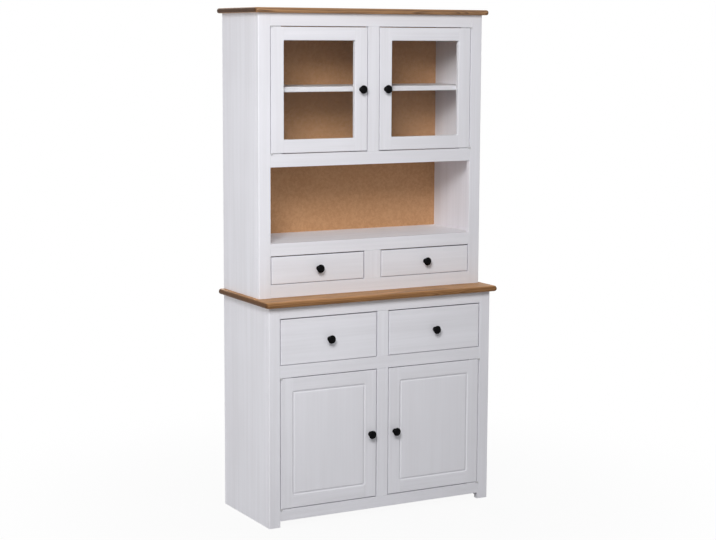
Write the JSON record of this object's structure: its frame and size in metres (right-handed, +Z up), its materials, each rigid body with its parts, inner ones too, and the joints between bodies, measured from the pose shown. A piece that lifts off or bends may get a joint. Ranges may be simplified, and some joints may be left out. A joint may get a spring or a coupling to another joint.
{
  "type": "highboard",
  "caption": "White painted pine highboard with waxed pine tops: a base with panel doors and drawers under a hutch with drawers, an open niche and glass doors.",
  "frame": {"origin": "on the floor in the middle of the outline", "axes": "+Z up, -Y out of the front, +X to the right of someone who faces the front"},
  "size_m": [0.94, 0.4, 1.8],
  "materials": {
    "white_paint": "satin white paint",
    "waxed_pine": "honey wax",
    "back_board": "brown hardboard",
    "raw_pine": "bare pine",
    "glass": "clear float glass",
    "black_knob": "satin black",
    "hinge_steel": "white coated steel",
    "steel": "zinc plated",
    "catch_plastic": "white plastic"
  },
  "bodies": {
    "carcass": {"base_top": "waxed_pine", "base_left_side": "white_paint", "base_right_side": "white_paint", "base_stiles": "white_paint", "base_rails": "white_paint", "base_mullions": "white_paint", "base_floor": "white_paint", "base_deck": "white_paint", "base_shelf": "white_paint", "base_back_panel": "back_board", "hutch_top": "waxed_pine", "hutch_left_side": "white_paint", "hutch_right_side": "white_paint", "hutch_stiles": "white_paint", "hutch_rails": "white_paint", "hutch_mullions": "white_paint", "hutch_bottom_board": "white_paint", "hutch_niche_floor": "white_paint", "hutch_cabinet_floor": "white_paint", "hutch_shelf": "white_paint", "hutch_back_panel": "back_board", "drawer_dividers": "white_paint", "drawer_runners": "raw_pine", "shelf_pins": "steel", "hutch_dowels": "raw_pine", "hinge_rail_leaves": "hinge_steel", "magnetic_catches": "catch_plastic"},
    "left_base_door": {"left_base_door_frame": "white_paint", "left_base_door_panel": "white_paint", "left_base_door_hinge_leaves": "hinge_steel", "left_base_door_knob": "black_knob"},
    "left_glass_door": {"left_glass_door_frame": "white_paint", "left_glass_door_pane": "glass", "left_glass_door_beads": "white_paint", "left_glass_door_hinge_leaves": "hinge_steel", "left_glass_door_knob": "black_knob"},
    "left_base_drawer": {"left_base_drawer_front": "white_paint", "left_base_drawer_box": "raw_pine", "left_base_drawer_knob": "black_knob"},
    "left_hutch_drawer": {"left_hutch_drawer_front": "white_paint", "left_hutch_drawer_box": "raw_pine", "left_hutch_drawer_knob": "black_knob"},
    "right_base_door": {"right_base_door_frame": "white_paint", "right_base_door_panel": "white_paint", "right_base_door_hinge_leaves": "hinge_steel", "right_base_door_knob": "black_knob"},
    "right_glass_door": {"right_glass_door_frame": "white_paint", "right_glass_door_pane": "glass", "right_glass_door_beads": "white_paint", "right_glass_door_hinge_leaves": "hinge_steel", "right_glass_door_knob": "black_knob"},
    "right_base_drawer": {"right_base_drawer_front": "white_paint", "right_base_drawer_box": "raw_pine", "right_base_drawer_knob": "black_knob"},
    "right_hutch_drawer": {"right_hutch_drawer_front": "white_paint", "right_hutch_drawer_box": "raw_pine", "right_hutch_drawer_knob": "black_knob"}
  },
  "joints": [
    {"name": "left_base_door_hinge", "type": "hinge", "parent": "carcass", "child": "left_base_door", "pos_m": [-0.406, -0.1769, 0.29625], "axis": [0, 0, -1], "range_deg": [0, 165]},
    {"name": "left_glass_door_hinge", "type": "hinge", "parent": "carcass", "child": "left_glass_door", "pos_m": [-0.403, -0.0989, 1.519], "axis": [0, 0, -1], "range_deg": [0, 165]},
    {"name": "left_base_drawer_slide", "type": "slide", "parent": "carcass", "child": "left_base_drawer", "axis": [0, -1, 0], "range_m": [0, 0.22]},
    {"name": "left_hutch_drawer_slide", "type": "slide", "parent": "carcass", "child": "left_hutch_drawer", "axis": [0, -1, 0], "range_m": [0, 0.16]},
    {"name": "right_base_door_hinge", "type": "hinge", "parent": "carcass", "child": "right_base_door", "pos_m": [0.406, -0.1769, 0.29625], "axis": [0, 0, 1], "range_deg": [0, 165]},
    {"name": "right_glass_door_hinge", "type": "hinge", "parent": "carcass", "child": "right_glass_door", "pos_m": [0.403, -0.0989, 1.519], "axis": [0, 0, 1], "range_deg": [0, 165]},
    {"name": "right_base_drawer_slide", "type": "slide", "parent": "carcass", "child": "right_base_drawer", "axis": [0, -1, 0], "range_m": [0, 0.22]},
    {"name": "right_hutch_drawer_slide", "type": "slide", "parent": "carcass", "child": "right_hutch_drawer", "axis": [0, -1, 0], "range_m": [0, 0.16]}
  ]
}
